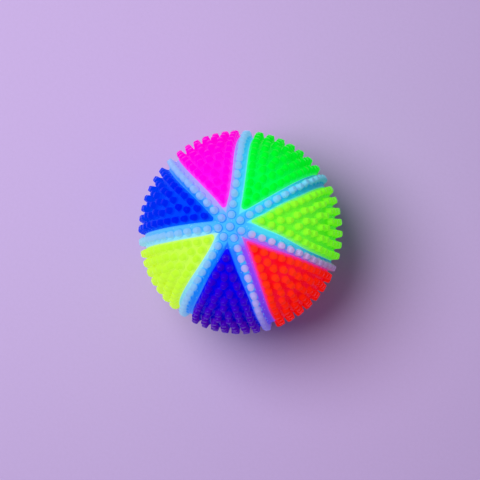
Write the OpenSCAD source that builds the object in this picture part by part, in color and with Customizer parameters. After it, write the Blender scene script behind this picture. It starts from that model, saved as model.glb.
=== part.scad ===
// Nubby sensory ball: a hollow, see-through rubber base in two halves with seven
// straps of nubs, fourteen coloured rubber petals set into its skin, and a light
// capsule inside that a shake switches on.
// Lengths in millimetres, +Z up. The ball stands at the origin on its lowest nubs.
// The poles lie on Z, and strap number zero runs over +X.

/* [Ball] */
// Diameter over the tips of the nubs
ball_d = 75; // [68:1:95]
// Height of a nub above the skin
nub_height = 2.5; // [2:0.1:3]
// Wall of the base under its straps, from the cavity to the skin
base_wall = 4.5; // [4:0.1:6]
// Depth of the flat that the ball's weight presses into its lowest nubs
rest_flat = 0.5; // [0.3:0.05:0.7]

/* [Nubs] */
// Diameter of a nub where it leaves the skin
nub_root_d = 3; // [2.6:0.05:3.2]
// Diameter that a nub's draft would give it at its tip
nub_tip_d = 2.3; // [1.8:0.05:2.6]
// Radius of the dome that ends a nub
nub_dome_r = 1.75; // [1.6:0.05:2]
// Least distance from nub to nub along a strap
strap_pitch = 3.7; // [3.4:0.05:4.5]
// Least distance from row to row on a petal
nub_pitch = 3.5; // [3.4:0.05:4.5]
// Usual distance between two nubs of one row
nub_side_pitch = 3.6; // [3.3:0.05:4.5]
// Space between the nubs of the ring around the hub
hub_gap = 0.6; // [0.2:0.05:0.8]

/* [Petals] */
// Width of a strap between two petals
strap_w = 5.1; // [4.6:0.1:6]
// Thickness of a petal's sheet
petal_t = 1.6; // [1.4:0.1:2]
// Clearance around and under a petal in its recess
petal_gap = 0.15; // [0.1:0.01:0.2]
// Radius of a petal's point near the pole
petal_tip_r = 1; // [0.6:0.1:1.4]
// Bare edge of a petal beside its outermost nubs
petal_edge = 0.15; // [0.1:0.01:0.5]

/* [Seam] */
// Height of the spigot that the lower half sends into the upper half
lap_h = 1.8; // [1.4:0.1:3]
// Thickness of the spigot
lap_t = 1.4; // [1.2:0.1:1.5]
// Step from the cavity to the spigot
lap_step = 0.3; // [0.2:0.05:0.4]
// Clearance of the spigot in its rebate
lap_gap = 0.1; // [0.05:0.01:0.2]

/* [Light capsule] */
// Room that the cells and a lamp leave across the capsule's inside
capsule_room = 4; // [3.6:0.1:6]
// Wall of both capsule halves
capsule_wall = 1.2; // [1:0.1:1.5]
// Floor of the capsule's base
capsule_floor = 1.5; // [1.2:0.1:1.6]
// Reach of the welded rim beyond the body
rim_out = 1.4; // [1:0.1:2]
// Thickness of each half's rim
rim_t = 1; // [0.8:0.1:1.4]
// Rise of the capsule's seam above the circuit board
rim_rise = 0.7; // [0.5:0.1:1.5]
// Rubber between the capsule's foot and the cavity's wall
socket_floor = 0.55; // [0.4:0.05:1]
// Wall of the rubber socket that grips the capsule
socket_wall = 2.4; // [2:0.1:3]
// Depth of the socket
socket_h = 6; // [5:0.1:8]
// Reach of the bead that snaps into the socket
bead_out = 0.6; // [0.4:0.05:0.8]
// Height of the bead
bead_h = 1.2; // [1:0.1:1.6]
// Clearance between the capsule and its socket
socket_gap = 0.1; // [0.05:0.01:0.2]

/* [Circuit] */
// Thickness of the circuit board
board_t = 1; // [0.8:0.1:1.2]
// Clearance between the board's edge and the capsule's wall
board_gap = 0.8; // [0.5:0.1:1.2]
// Diameter of the posts under the board
post_d = 2.4; // [2:0.1:3]
// Diameter of a lamp's body
lamp_d = 5; // [4:0.1:5.4]
// Height of a lamp, flange and dome included
lamp_h = 8.6; // [7.5:0.1:8.8]
// Reach of a lamp's flange beyond its body
lamp_flange_out = 0.4; // [0.3:0.05:0.5]
// Thickness of a lamp's flange
lamp_flange_t = 1; // [0.8:0.1:1.4]
// Height of a lamp above the board
lamp_lift = 1.5; // [1:0.1:2]
// Clearance between a lamp and the capsule's dome
lamp_gap = 0.5; // [0.3:0.1:1]
// Thickness of a lamp's legs
leg_t = 0.5; // [0.4:0.05:0.6]
// Distance between the two legs of a lamp
leg_pitch = 2.54; // [2.3:0.02:2.8]
// Clearance of a leg in the board
leg_gap = 0.15; // [0.1:0.01:0.2]
// Length of a leg under the board
leg_out = 0.8; // [0.5:0.1:1.2]
// Diameter of the resin drop over the flasher chip
chip_d = 5; // [4:0.1:5.5]
// Height of the resin drop
chip_h = 1.2; // [0.8:0.1:1.6]

/* [Cells] */
// Diameter of a button cell
cell_d = 11.6; // [10:0.1:12]
// Height of a button cell
cell_h = 3.1; // [2.9:0.05:3.2]
// Height of a cell's raised minus side
cell_boss_h = 0.3; // [0.2:0.05:0.4]
// Wall of the sleeve around the cells
sleeve_wall = 0.9; // [0.7:0.1:1.1]
// Clearance of the cells in the sleeve
sleeve_gap = 0.2; // [0.1:0.05:0.3]
// Thickness of the contact strips
contact_t = 0.3; // [0.2:0.05:0.4]
// Width of the contact strips
contact_w = 2.2; // [1.8:0.1:2.6]
// Room between the upper contact and the board
contact_rise = 0.4; // [0.3:0.05:0.6]

/* [Shake switch] */
// Length of the switch spring
coil_len = 8; // [7.5:0.1:8.6]
// Outside diameter of the spring
coil_d = 2.8; // [2.6:0.1:3]
// Thickness of its wire
coil_wire = 0.3; // [0.25:0.01:0.32]
// Turns of the spring
coil_turns = 10; // [8:1:10]
// Thickness of the pin that the spring swings against
pin_d = 0.6; // [0.4:0.05:0.7]
// Stretch of the pin inside the spring
pin_in = 4; // [3:0.1:5]
// Height of the spring's axis above the board
coil_lift = 2.4; // [2.2:0.1:3]
// Thickness of the block that carries the spring
block_t = 1.4; // [1:0.1:2]
// Clearance between the swinging spring and what it swings beside
swing_gap = 0.3; // [0.25:0.01:0.4]

/* [Hidden] */
petal_names = ["lime", "green", "magenta", "blue", "yellow", "purple", "red"];
petal_colors = ["#7dff1e", "#00f52c", "#ff14e6", "#0064ff", "#c8fa32", "#3c00c8", "#ff1428"];

// One overrun for all cuts
over = 1;
// Steps of the arc around a petal's point
point_steps = 6;
// Fineness of the drawn curves
ball_fn = 72;
nub_fn = 20;
small_fn = 32;

// The ball
petals = len(petal_names);
petal_turn = 360 / petals;
tip_r = ball_d / 2;
skin_r = tip_r - nub_height;
cavity_r = skin_r - base_wall;
center_z = tip_r - rest_flat;
floor_r = skin_r - petal_t - petal_gap;

nub_sink_share = 0.6;
nub_sink = petal_t * nub_sink_share;

// Rows of nubs run from a first angle to the seam, the last one half a step short of it
function arc_len(r, deg) = r * deg * PI / 180;
function rows_from(first, pitch) = floor(arc_len(skin_r, 90 - first) / pitch + 1 / 2);
function step_from(first, rows) = (90 - first) / (rows - 1 / 2);

// A strap's nubs start at the ring around the hub
hub_ring_r = (nub_root_d + hub_gap) / 2 / sin(petal_turn / 2);
hub_ring_deg = asin(hub_ring_r / skin_r);
strap_rows = rows_from(hub_ring_deg, strap_pitch);
strap_step = step_from(hub_ring_deg, strap_rows);
function strap_deg(k) = hub_ring_deg + (k - 1) * strap_step;

// The outermost nubs of a petal stand this far from the middle plane of their strap, and its
// first nub stands where both straps are that far away
column_r = strap_w / 2 + petal_gap + petal_edge + nub_root_d / 2;
petal_start_deg = asin(column_r / sin(petal_turn / 2) / skin_r);
petal_rows = rows_from(petal_start_deg, nub_pitch);
petal_step = step_from(petal_start_deg, petal_rows);
function row_deg(k) = petal_start_deg + (k - 1) * petal_step;

// Radius of a row about the pole, and the angle and the length that it spans there
function row_r(k) = skin_r * sin(row_deg(k));
function row_span(k) = petal_turn - 2 * asin(min(1, column_r / row_r(k)));
function row_len(k) = arc_len(row_r(k), row_span(k));

// A row holds nubs at their usual distance, as long as their roots stay apart
function row_gaps(k) = min(floor(row_len(k) / nub_side_pitch + 1 / 2), floor(row_len(k) / nub_root_d));
function row_nubs(k) = max(0, row_gaps(k)) + 1;
function row_place(k, j) = row_nubs(k) == 1 ? 0 : row_span(k) * (j / (row_nubs(k) - 1) - 1 / 2);
most_nubs = max([for (k = [1:petal_rows]) row_nubs(k)]);

// The capsule is as wide as the cells and a lamp side by side need
sleeve_r = cell_d / 2 + sleeve_gap + sleeve_wall;
lamp_r = lamp_d / 2;
inside_r = sleeve_r + lamp_r + lamp_flange_out + capsule_room;
capsule_r = inside_r + capsule_wall;

// It stands as low as the cavity's wall lets its foot go
capsule_z = center_z - sqrt(cavity_r * cavity_r - capsule_r * capsule_r) + socket_floor;
socket_top_z = capsule_z + socket_h;
socket_r = capsule_r + socket_gap + socket_wall;
socket_bury = (floor_r - cavity_r) / 2;
bead_z = capsule_z + socket_h / 2;

// From its floor up: the lower contact, the cells, the upper contact, the board and the seam
inside_z = capsule_z + capsule_floor;
cell_z = inside_z + contact_t;
stack_top_z = cell_z + 3 * cell_h;
board_z = stack_top_z + contact_t + contact_rise;
board_top_z = board_z + board_t;
rim_z = board_top_z + rim_rise;
board_r = inside_r - board_gap;
post_ring_r = inside_r - post_d / 2 + capsule_wall / 2;
stack_share = 0.27;
stack_y = capsule_r * stack_share;

// Three lamps along the edge, opposite the switch, as far out as the dome lets their tops go
lamp_z = board_top_z + lamp_lift;
lamp_rise = lamp_z + lamp_h - lamp_r - rim_z;
lamp_reach = inside_r - lamp_r - lamp_gap;
lamp_ring_r = sqrt(lamp_reach * lamp_reach - lamp_rise * lamp_rise);
lamp_places = [
    for (a = [208, 270, 332]) [lamp_ring_r * cos(a), lamp_ring_r * sin(a), 0]
];

// The switch: the spring's root is its hinge
coil_r = coil_d / 2;
coil_mean_r = coil_r - coil_wire / 2;
coil_x_share = 0.5;
coil_y_share = 0.36;
coil_x = -board_r * coil_x_share;
coil_y = board_r * coil_y_share;
coil_z = board_top_z + coil_lift;
coil_tip_x = coil_x + swing_gap + coil_len;
block_w = coil_d;
pin_block_x = coil_tip_x + swing_gap;
chip_x = coil_tip_x - chip_d / 2;
chip_y = coil_y - coil_r - swing_gap - chip_d / 2;
rings_per_turn = 8;
wire_sides = 6;
coil_rings = coil_turns * rings_per_turn;
coil_pitch = (coil_len - coil_wire) / coil_turns;

module at_center() {
    translate([0, 0, center_z]) children();
}

// Nubs

// A nub drafts inwards from its root and ends in a dome
module nub() {
    draft = (nub_root_d - nub_tip_d) / 2 / nub_height;
    intersection() {
        translate([0, 0, -nub_sink])
            cylinder(
                h = nub_sink + nub_height,
                r1 = nub_root_d / 2 + draft * nub_sink,
                r2 = nub_tip_d / 2,
                $fn = nub_fn
            );
        translate([0, 0, nub_height - nub_dome_r]) sphere(r = nub_dome_r, $fn = nub_fn);
    }
}

module nub_at(from_pole, around) {
    rotate([0, from_pole, around]) translate([0, 0, skin_r]) nub();
}

// One row of nubs along each strap, and one nub on the hub
module strap_nubs() {
    union() {
        nub_at(0, 0);
        for (s = [0:petals - 1], k = [1:strap_rows]) nub_at(strap_deg(k), s * petal_turn);
    }
}

// A petal's rows fill it from edge to edge, and gain nubs as it widens
module petal_nubs() {
    for (k = [1:petal_rows], j = [0:most_nubs - 1])
        if (j < row_nubs(k)) nub_at(row_deg(k), row_place(k, j));
}

// Petals and the base

// Outline seen from the pole: two straight edges that run beside the straps, and a round point.
// edge is how far they stay from the middle plane of a strap, and reach is how far out they run.
module petal_outline(edge, point_r, reach) {
    half = petal_turn / 2;
    point_x = (edge + point_r) / sin(half);
    side = [reach, reach * tan(half) - edge / cos(half)];
    arc = [
        for (i = [0:point_steps])
            let (a = 90 + half + (180 - 2 * half) * i / point_steps)
                [point_x + point_r * cos(a), point_r * sin(a)]
    ];
    polygon(concat([side], arc, [[side[0], -side[1]]]));
}

// A cap of the skin within that outline, above the seam
module petal_wedge(edge, point_r, inner_r, outer_r, foot) {
    intersection() {
        difference() {
            sphere(r = outer_r, $fn = ball_fn);
            sphere(r = inner_r, $fn = ball_fn);
        }
        translate([0, 0, foot])
            linear_extrude(height = tip_r) petal_outline(edge, point_r, tip_r);
    }
}

// A petal is moulded about its own middle plane
module petal() {
    union() {
        petal_wedge(
            strap_w / 2 + petal_gap, petal_tip_r, skin_r - petal_t, skin_r, petal_gap / 2
        );
        petal_nubs();
    }
}

module upper_petal(i) {
    at_center() rotate([0, 0, (i + 1 / 2) * petal_turn]) color(petal_colors[i]) petal();
}

module lower_petal(i) {
    at_center() mirror([0, 0, 1])
        rotate([0, 0, (i + 1 / 2) * petal_turn]) color(petal_colors[i]) petal();
}

module half_space() {
    translate([-tip_r - over, -tip_r - over, -tip_r - over])
        cube([2 * (tip_r + over), 2 * (tip_r + over), tip_r + over]);
}

// Half of the base from the seam up, hollow, with the recesses that the petals sit in
module base_half() {
    difference() {
        sphere(r = skin_r, $fn = ball_fn);
        sphere(r = cavity_r, $fn = ball_fn);
        half_space();
        for (i = [0:petals - 1])
            rotate([0, 0, (i + 1 / 2) * petal_turn])
                petal_wedge(
                    strap_w / 2, petal_tip_r + petal_gap, floor_r, skin_r + over, -over
                );
    }
}

module lap_ring(inner_r, outer_r, low, high) {
    translate([0, 0, low])
        difference() {
            cylinder(h = high - low, r = outer_r, $fn = ball_fn);
            translate([0, 0, -over]) cylinder(h = high - low + 2 * over, r = inner_r, $fn = ball_fn);
        }
}

module shell_upper() {
    at_center() color("#6eb9ff", 0.6)
        union() {
            difference() {
                base_half();
                lap_ring(
                    cavity_r - over, cavity_r + lap_step + lap_t + lap_gap, -over, lap_h + lap_gap
                );
            }
            strap_nubs();
        }
}

// Rubber socket that grows out of the wall around the foot of the capsule
module socket() {
    translate([0, 0, -center_z])
        difference() {
            translate([0, 0, center_z])
                intersection() {
                    sphere(r = cavity_r + socket_bury, $fn = ball_fn);
                    translate([0, 0, -skin_r])
                        cylinder(
                            h = skin_r - center_z + socket_top_z, r = socket_r, $fn = ball_fn
                        );
                }
            translate([0, 0, capsule_z])
                cylinder(h = socket_h + over, r = capsule_r + socket_gap, $fn = ball_fn);
            translate([0, 0, bead_z - socket_gap])
                cylinder(
                    h = bead_h + 2 * socket_gap,
                    r = capsule_r + bead_out + socket_gap,
                    $fn = ball_fn
                );
        }
}

module shell_lower() {
    color("#6eb9ff", 0.6)
        difference() {
            at_center()
                union() {
                    mirror([0, 0, 1]) base_half();
                    lap_ring(
                        cavity_r + lap_step, cavity_r + lap_step + lap_t, -over, lap_h
                    );
                    socket();
                    mirror([0, 0, 1]) strap_nubs();
                }
            translate([-tip_r, -tip_r, -2 * rest_flat])
                cube([2 * tip_r, 2 * tip_r, 2 * rest_flat]);
        }
}

// Light capsule

module capsule_base() {
    color("#eef4fa")
        union() {
            rotate_extrude($fn = ball_fn)
                polygon([
                    [0, capsule_z],
                    [capsule_r, capsule_z],
                    [capsule_r, bead_z],
                    [capsule_r + bead_out, bead_z],
                    [capsule_r + bead_out, bead_z + bead_h],
                    [capsule_r, bead_z + bead_h],
                    [capsule_r, rim_z - rim_t],
                    [capsule_r + rim_out, rim_z - rim_t],
                    [capsule_r + rim_out, rim_z],
                    [inside_r, rim_z],
                    [inside_r, inside_z],
                    [0, inside_z]
                ]);
            for (a = [90, 210, 330])
                translate([post_ring_r * cos(a), post_ring_r * sin(a), inside_z - capsule_floor / 2])
                    cylinder(h = board_z - inside_z + capsule_floor / 2, d = post_d, $fn = small_fn);
        }
}

// A dome over the lamps, welded to the base at its rim
module capsule_lid() {
    color("#eef4fa", 0.4)
        difference() {
            union() {
                translate([0, 0, rim_z]) sphere(r = capsule_r, $fn = ball_fn);
                translate([0, 0, rim_z]) cylinder(h = rim_t, r = capsule_r + rim_out, $fn = ball_fn);
            }
            translate([0, 0, rim_z]) sphere(r = inside_r, $fn = ball_fn);
            translate([-tip_r, -tip_r, rim_z - tip_r]) cube([2 * tip_r, 2 * tip_r, tip_r]);
        }
}

// Circuit

module circuit_board() {
    color("#1e7a4a")
        difference() {
            translate([0, 0, board_z]) cylinder(h = board_t, r = board_r, $fn = ball_fn);
            for (p = lamp_places, s = [-1, 1])
                translate(p + [s * leg_pitch / 2, 0, board_z - over])
                    cylinder(h = board_t + 2 * over, d = leg_t + 2 * leg_gap, $fn = small_fn);
        }
}

// A flat drop: the cap of a sphere that has its height and width
module chip_blob() {
    cap_r = (chip_d * chip_d / 4 + chip_h * chip_h) / 2 / chip_h;
    color("#16181c")
        translate([chip_x, chip_y, board_top_z])
            intersection() {
                translate([0, 0, chip_h - cap_r]) sphere(r = cap_r, $fn = ball_fn);
                cylinder(h = chip_h + over, r = chip_d, $fn = small_fn);
            }
}

module lamp(place) {
    translate(place + [0, 0, lamp_z])
        union() {
            cylinder(h = lamp_flange_t, r = lamp_r + lamp_flange_out, $fn = small_fn);
            cylinder(h = lamp_h - lamp_r, r = lamp_r, $fn = small_fn);
            intersection() {
                translate([0, 0, lamp_h - lamp_r]) sphere(r = lamp_r, $fn = small_fn);
                translate([0, 0, lamp_h - lamp_r]) cylinder(h = lamp_r, r = lamp_d, $fn = small_fn);
            }
        }
}

module lamp_legs(place) {
    color("silver")
        for (s = [-1, 1])
            translate(place + [s * leg_pitch / 2, 0, board_z - leg_out])
                cylinder(h = lamp_z - board_z + leg_out, d = leg_t, $fn = small_fn);
}

module led_red() {
    color("#ff5a5a", 0.8) lamp(lamp_places[0]);
}

module led_green() {
    color("#6effa0", 0.8) lamp(lamp_places[1]);
}

module led_blue() {
    color("#5aa0ff", 0.8) lamp(lamp_places[2]);
}

// Cells and contacts

// The sleeve is open at the foot where the lower contact leaves it
module cell_sleeve() {
    color("#dfe3e8")
        translate([0, stack_y, inside_z])
            difference() {
                cylinder(h = contact_t + 3 * cell_h - cell_boss_h, r = sleeve_r, $fn = ball_fn);
                translate([0, 0, -over])
                    cylinder(
                        h = 3 * cell_h + 2 * over, r = sleeve_r - sleeve_wall, $fn = ball_fn
                    );
                translate([0, -contact_w / 2 - sleeve_gap, -over])
                    cube([
                        sleeve_r + over, contact_w + 2 * sleeve_gap, contact_t + sleeve_gap + over
                    ]);
            }
}

// A cell stands with its can up and its narrower minus side down
module cell(i) {
    color("#c3c8cf")
        translate([0, stack_y, cell_z + i * cell_h])
            union() {
                translate([0, 0, cell_boss_h])
                    cylinder(h = cell_h - cell_boss_h, d = cell_d, $fn = ball_fn);
                cylinder(h = cell_boss_h + over, d = cell_d - 4 * cell_boss_h, $fn = ball_fn);
            }
}

// A strip under the cells, folded up outside the sleeve to the board
module contact_negative() {
    rise_x = sleeve_r + sleeve_gap;
    color("#d9b65a")
        translate([0, stack_y, 0])
            union() {
                translate([0, 0, inside_z]) cylinder(h = contact_t, d = cell_d / 2, $fn = small_fn);
                translate([0, -contact_w / 2, inside_z])
                    cube([rise_x + contact_t, contact_w, contact_t]);
                translate([rise_x, -contact_w / 2, inside_z])
                    cube([contact_t, contact_w, board_z - inside_z]);
            }
}

// A disc on the top cell with a tab that meets the board
module contact_positive() {
    color("#d9b65a")
        translate([0, stack_y, stack_top_z])
            union() {
                cylinder(h = contact_t, d = cell_d / 2, $fn = small_fn);
                translate([-contact_w / 2, -contact_w / 2, 0])
                    cube([contact_w, contact_w, contact_t + contact_rise]);
            }
}

// Shake switch

// The block stands on the board and carries the root of the spring
module shake_block() {
    color("#d9b65a")
        translate([coil_x - block_t, coil_y - block_w / 2, board_top_z])
            cube([block_t, block_w, coil_lift + coil_r]);
}

// The pin reaches out of its own block into the free end of the spring
module shake_pin() {
    color("silver")
        union() {
            translate([pin_block_x, coil_y - block_w / 2, board_top_z])
                cube([block_t, block_w, coil_lift + coil_r]);
            translate([coil_tip_x - pin_in, coil_y, coil_z])
                rotate([0, 90, 0])
                    cylinder(h = pin_in + swing_gap + block_t / 2, d = pin_d, $fn = small_fn);
        }
}

// Middle of the wire at ring i, along +X from the root
function coil_point(i) =
    let (a = 360 * i / rings_per_turn)
        [
            coil_wire / 2 + coil_pitch * i / rings_per_turn,
            coil_mean_r * cos(a),
            coil_mean_r * sin(a)
        ];
// One point of the ring of wire_sides points around the wire
function wire_point(i, j) =
    let (a = 360 * i / rings_per_turn, b = 360 * j / wire_sides)
        coil_point(i) + coil_wire / 2 * [
            cos(b), sin(b) * cos(a), sin(b) * sin(a)
        ];
wire_points = [for (i = [0:coil_rings], j = [0:wire_sides - 1]) wire_point(i, j)];
function wire_index(i, j) = i * wire_sides + j % wire_sides;
wire_faces = concat(
    [[for (j = [0:wire_sides - 1]) wire_index(0, j)]],
    [
        for (i = [0:coil_rings - 1], j = [0:wire_sides - 1])
            [wire_index(i, j), wire_index(i + 1, j), wire_index(i + 1, j + 1)]
    ],
    [
        for (i = [0:coil_rings - 1], j = [0:wire_sides - 1])
            [wire_index(i, j), wire_index(i + 1, j + 1), wire_index(i, j + 1)]
    ],
    [[for (j = [wire_sides - 1:-1:0]) wire_index(coil_rings, j)]]
);
// Least gap between one turn's points and the next turn's
coil_gap = min([
    for (i = [0:rings_per_turn], j = [0:wire_sides - 1], m = [-1:1], n = [0:wire_sides - 1])
        norm(wire_point(i, j) - wire_point(i + rings_per_turn + m, n))
]);
echo(coil_gap = coil_gap);

// One unbroken wire
module shake_spring() {
    color("#cdd2d8")
        translate([coil_x + swing_gap, coil_y, coil_z])
            polyhedron(points = wire_points, faces = wire_faces, convexity = coil_turns);
}

shell_upper();
shell_lower();
upper_petal(0);  // petal_upper_lime
upper_petal(1);  // petal_upper_green
upper_petal(2);  // petal_upper_magenta
upper_petal(3);  // petal_upper_blue
upper_petal(4);  // petal_upper_yellow
upper_petal(5);  // petal_upper_purple
upper_petal(6);  // petal_upper_red
lower_petal(0);  // petal_lower_lime
lower_petal(1);  // petal_lower_green
lower_petal(2);  // petal_lower_magenta
lower_petal(3);  // petal_lower_blue
lower_petal(4);  // petal_lower_yellow
lower_petal(5);  // petal_lower_purple
lower_petal(6);  // petal_lower_red
capsule_base();
capsule_lid();
circuit_board();
chip_blob();
led_red();
led_green();
led_blue();
lamp_legs(lamp_places[0]);  // led_legs_red
lamp_legs(lamp_places[1]);  // led_legs_green
lamp_legs(lamp_places[2]);  // led_legs_blue
cell_sleeve();
cell(0);  // cell_bottom
cell(1);  // cell_middle
cell(2);  // cell_top
contact_negative();
contact_positive();
shake_block();
shake_spring();
shake_pin();
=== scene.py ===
"""Dresses a nubby sensory ball: see-through base, coloured petals and the light capsule inside.

It is laid out as an add-on and run as a script. Lengths are in metres, +Z is up, and the ball
stands on its lowest nubs with its poles on Z.
"""

import math
from collections import namedtuple

import bmesh
import bpy
from mathutils import Matrix, Vector


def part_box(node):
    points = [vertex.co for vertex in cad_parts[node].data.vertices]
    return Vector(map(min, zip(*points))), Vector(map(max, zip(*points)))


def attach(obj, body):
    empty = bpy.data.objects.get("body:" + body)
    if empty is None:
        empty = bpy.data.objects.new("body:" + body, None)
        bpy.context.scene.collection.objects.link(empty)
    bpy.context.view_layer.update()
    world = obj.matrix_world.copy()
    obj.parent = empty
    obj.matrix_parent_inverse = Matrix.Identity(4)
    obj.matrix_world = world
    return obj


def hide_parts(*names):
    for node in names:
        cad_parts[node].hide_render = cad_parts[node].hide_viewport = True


bl_info = {
    "name": "Nubby sensory ball",
    "version": (1, 0, 0),
    "blender": (4, 5, 0),
    "location": "3D View > Sidebar > Ball",
    "description": "Builds the soft skin, the light capsule and the studio of a nubby sensory ball",
    "category": "Add Mesh",
}

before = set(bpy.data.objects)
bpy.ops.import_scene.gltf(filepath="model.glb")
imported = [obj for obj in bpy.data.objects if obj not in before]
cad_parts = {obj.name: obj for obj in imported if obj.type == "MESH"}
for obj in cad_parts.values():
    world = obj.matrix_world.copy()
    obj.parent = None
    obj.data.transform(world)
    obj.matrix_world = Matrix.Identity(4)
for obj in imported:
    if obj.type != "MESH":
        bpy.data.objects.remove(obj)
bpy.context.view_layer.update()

MM = 0.001

# The frame gives the ball's middle, the reach of its nubs and the foot of the capsule
seam_low, shell_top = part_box("shell_upper")
CENTRE = Vector((0, 0, seam_low.z))
TIP_RADIUS = shell_top.z - seam_low.z
capsule_low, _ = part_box("capsule_base")

PETALS = ("lime", "green", "magenta", "blue", "yellow", "purple", "red")
LAMPS = ("red", "green", "blue")
TURN = math.tau / len(PETALS)
HALF = TURN / 2
SIDES = {"upper": 1, "lower": -1}

# Fineness of the sheets: around a petal's point, along its side, over its rounded edge, across a
# petal and a strap, from the pole to the petals, and around the cavity
POINT_STEPS = 6
SIDE_STEPS = 34
ROUND_STEPS = 3
PETAL_COLUMNS = 20
STRAP_COLUMNS = 10
HUB_ROWS = 8
CAVITY_STEPS = 16
# The most that an edge's rounding takes of the radius of its point
POINT_SHARE = 0.6
# Points that are closer to each other than this become one
MERGE = 0.001 * MM

# Most nubs in a row of a petal, and a pitch so wide that a row has only one
MOST_NUBS = 7
LONE_PITCH = 1.0
# Tilt of the nub on the pole, as near to the pole as a row can be
POLE_TILT = 1e-4
# Added to the seed for the straps' nubs and for the nub on the pole, and for each petal
STRAP_SEED = 90
POLE_SEED = 91
PETAL_SEED = 5
# The smallest nub's share of the largest
LEAST_NUB = 0.975

# A nub's profile: shares of its root's and then of its top's radius, each with its share of the
# height, above a flare that starts this far under the skin
NUB_FLANK = ((0.92, 0.2), (0.82, 0.48))
NUB_TOP = ((1.1, 0.72), (1.0, 0.9), (0.82, 0.98), (0.55, 1.0))
FLARE_SINK = 0.12 * MM


def colour(red, green, blue):
    """A colour as it is seen on a screen, 0 to 255, in the linear values that shaders take."""
    parts = []
    for part in (red, green, blue):
        share = part / 255
        low = share <= 0.04045
        parts.append(share / 12.92 if low else ((share + 0.055) / 1.055) ** 2.4)
    return (*parts, 1.0)


WHITE = (1.0, 1.0, 1.0, 1.0)


def number_property(name, description, default, **kind):
    return bpy.props.FloatProperty(name=name, description=description, default=default, **kind)


def length_property(name, description, millimetres):
    return number_property(name, description, millimetres * MM, unit="LENGTH", precision=5)


def angle_property(name, description, degrees):
    return number_property(name, description, math.radians(degrees), subtype="ANGLE")


def shade_property(name, description, default=WHITE):
    return bpy.props.FloatVectorProperty(
        name=name, description=description, default=default, size=4, subtype="COLOR",
    )


class BallSizes(bpy.types.PropertyGroup):
    """Sizes of the rubber skin"""

    nub_height: length_property("Nub height", "Height of a nub above the skin", 2.5)
    nub_root: length_property("Nub root", "Radius of a nub where it leaves the skin", 1.5)
    nub_tip: length_property("Nub tip", "Radius of a nub near its rounded top", 1.02)
    root_flare: length_property("Root flare", "Reach of the soft fillet around a nub's root", 0.3)
    nub_sides: bpy.props.IntProperty(
        name="Nub sides", description="Sides of a nub", default=12, min=8, max=24,
    )
    strap_pitch: length_property("Strap pitch", "Least distance from nub to nub along a strap", 3.7)
    row_pitch: length_property("Row pitch", "Least distance from row to row on a petal", 3.5)
    side_pitch: length_property("Side pitch", "Usual distance between two nubs of a row", 3.6)
    hub_ring: length_property("Hub ring", "Distance of the first ring of nubs from the pole", 4.149)
    column_reach: length_property(
        "Outermost nubs", "Distance of a petal's outermost nubs from the strap", 4.35)
    strap_half: length_property("Half strap", "Half the width of a strap", 2.55)
    petal_thickness: length_property("Petal sheet", "Thickness of a petal's sheet", 1.6)
    petal_gap: length_property("Petal gap", "Clearance under a petal", 0.15)
    side_gap: length_property(
        "Side gap", "What is left of the clearance where the soft edges meet", 0.05)
    edge_round: length_property(
        "Edge rounding", "Rounding along the edges of petals and straps", 0.25)
    base_wall: length_property("Base wall", "Wall of the base under its straps", 4.5)
    lap_height: length_property("Spigot height", "Height of the spigot at the seam", 1.8)
    lap_thickness: length_property("Spigot thickness", "Thickness of the spigot", 1.4)
    lap_step: length_property("Spigot step", "Step from the cavity to the spigot", 0.3)
    lap_gap: length_property("Spigot gap", "Clearance of the spigot and of the capsule", 0.1)
    socket_wall: length_property(
        "Socket wall", "Wall of the socket that grips the light capsule", 2.4)
    socket_height: length_property("Socket height", "Depth of the socket", 6)
    capsule_radius: length_property("Capsule radius", "Radius of the light capsule's body", 15)
    lean: angle_property("Lean", "Most that a nub leans from its place", 6)
    seed: bpy.props.IntProperty(
        name="Seed", description="Picks how the nubs differ from each other", default=7,
    )

    @property
    def skin(self):
        return TIP_RADIUS - self.nub_height

    @property
    def cavity(self):
        return self.skin - self.base_wall

    @property
    def floor(self):
        return self.skin - self.petal_thickness - self.petal_gap

    @property
    def strap_rows(self):
        return row_places(math.asin(self.hub_ring / self.skin), self.strap_pitch, self.skin)

    @property
    def petal_rows(self):
        first = math.asin(self.column_reach / math.sin(HALF) / self.skin)
        return row_places(first, self.row_pitch, self.skin)


def row_places(first, pitch, skin):
    """First tilt, tilt from row to row, and how many rows end half a step short of the seam."""
    quarter = math.pi / 2 - first
    rows = math.floor(quarter * skin / pitch + 0.5)
    return first, quarter / (rows - 0.5), rows


class PetalShades(bpy.types.PropertyGroup):
    """Colours of one petal, and of the base beside it"""

    sheet: shade_property("Sheet", "The sheet near the petal's point")
    # The colours at the seam are partly the rubber's own and partly painted shade, mostly darker
    far_sheet: shade_property("Sheet at the seam", "The sheet between the nubs near the seam")
    nub: shade_property("Nubs", "The nubs near the petal's point")
    far_nub: shade_property("Nubs at the seam", "The nubs near the seam")
    # The edge is paler with painted light from the clear base
    edge: shade_property("Edge", "The thin edge along the straps")
    rim: shade_property("Rim", "The lit rim of the base along the petal")
    # glow: share of the colour painted as glow, in place of light from the capsule inside
    glow: number_property(
        "Glow", "Share of the colour that shines from inside", 0.3, min=0.0, max=1.0)


class StrapShades(bpy.types.PropertyGroup):
    """Colours of one strap, whose sides take painted light from the petal on each side"""

    # The colours at the seam are partly the rubber's own and partly painted shade, mostly darker
    nub: shade_property("Nubs", "The nubs near the hub")
    far_nub: shade_property("Nubs at the seam", "The nubs near the seam")
    # A side's tint is painted light from the petal on that side
    right: shade_property("Right side", "The sheet clockwise of the nubs, near the hub")
    far_right: shade_property("Right side at the seam", "That side near the seam")
    left: shade_property("Left side", "The sheet on the other side of the nubs, near the hub")
    far_left: shade_property("Left side at the seam", "That side near the seam")


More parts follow.
